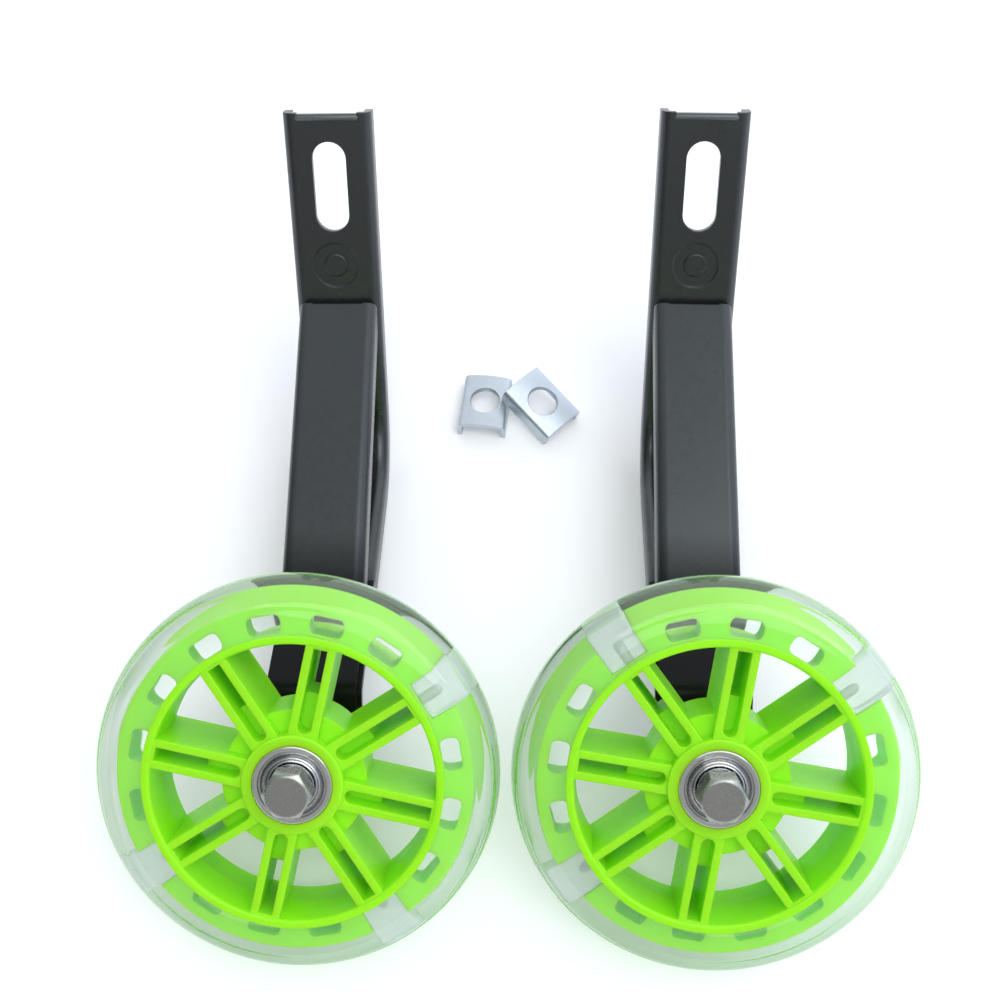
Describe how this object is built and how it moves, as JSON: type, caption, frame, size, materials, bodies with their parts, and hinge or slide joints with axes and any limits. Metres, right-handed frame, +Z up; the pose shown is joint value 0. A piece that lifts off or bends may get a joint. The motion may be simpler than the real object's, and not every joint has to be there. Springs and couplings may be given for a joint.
{
  "type": "bicycle training wheels",
  "caption": "Bicycle stabilisers: bent steel brackets with slotted axle plates carry green spoked wheels with clear light-up tyres; loose axle clips lie beside them.",
  "frame": {"origin": "middle of the pair's footprint on the table it lies on", "axes": "+X from the left stabiliser to the right one, +Y from the wheels towards the slotted plates, +Z up from the table"},
  "size_m": [0.2268, 0.247, 0.1072],
  "materials": {
    "black_paint": "semi-gloss black enamel on pressed steel",
    "bright_steel": "bright nickel plate",
    "zinc": "blue-white zinc plate",
    "bearing_steel": "ground bearing steel",
    "dark_magnet": "moulded ferrite ring",
    "green_plastic": "lime green moulded plastic",
    "clear_tyre": "clear soft plastic",
    "clear_block": "clear moulded resin",
    "lamp_resin": "milky lamp resin"
  },
  "bodies": {
    "brackets": {"left_slotted_bracket": "black_paint", "left_strut": "black_paint", "left_locating_peg": "black_paint", "left_axle_bolt": "bright_steel", "left_axle_nut": "zinc", "left_spring_washer": "zinc", "left_front_bearing_inner_ring": "bearing_steel", "left_rear_bearing_inner_ring": "bearing_steel", "left_magnet_spacer": "dark_magnet", "left_axle_sleeve": "zinc", "right_slotted_bracket": "black_paint", "right_strut": "black_paint", "right_locating_peg": "black_paint", "right_axle_bolt": "bright_steel", "right_axle_nut": "zinc", "right_spring_washer": "zinc", "right_front_bearing_inner_ring": "bearing_steel", "right_rear_bearing_inner_ring": "bearing_steel", "right_magnet_spacer": "dark_magnet", "right_axle_sleeve": "zinc", "lower_axle_clip": "zinc", "upper_axle_clip": "zinc"},
    "left_wheel": {"left_hub": "green_plastic", "left_tyre": "clear_tyre", "left_led_housings": "clear_block", "left_led_lamps": "lamp_resin", "left_front_bearing_outer_ring": "bearing_steel", "left_front_bearing_shields": "bearing_steel", "left_front_bearing_balls": "bearing_steel", "left_rear_bearing_outer_ring": "bearing_steel", "left_rear_bearing_shields": "bearing_steel", "left_rear_bearing_balls": "bearing_steel"},
    "right_wheel": {"right_hub": "green_plastic", "right_tyre": "clear_tyre", "right_led_housings": "clear_block", "right_led_lamps": "lamp_resin", "right_front_bearing_outer_ring": "bearing_steel", "right_front_bearing_shields": "bearing_steel", "right_front_bearing_balls": "bearing_steel", "right_rear_bearing_outer_ring": "bearing_steel", "right_rear_bearing_shields": "bearing_steel", "right_rear_bearing_balls": "bearing_steel"}
  },
  "joints": [
    {"name": "left_wheel_spin", "type": "hinge", "parent": "brackets", "child": "left_wheel", "pos_m": [-0.05745, -0.0785, 0.04079], "axis": [0.0069, -0.6579, 0.7531], "continuous": true},
    {"name": "right_wheel_spin", "type": "hinge", "parent": "brackets", "child": "right_wheel", "pos_m": [0.05745, -0.0785, 0.04079], "axis": [-0.0161, -0.6577, 0.7531], "continuous": true}
  ]
}
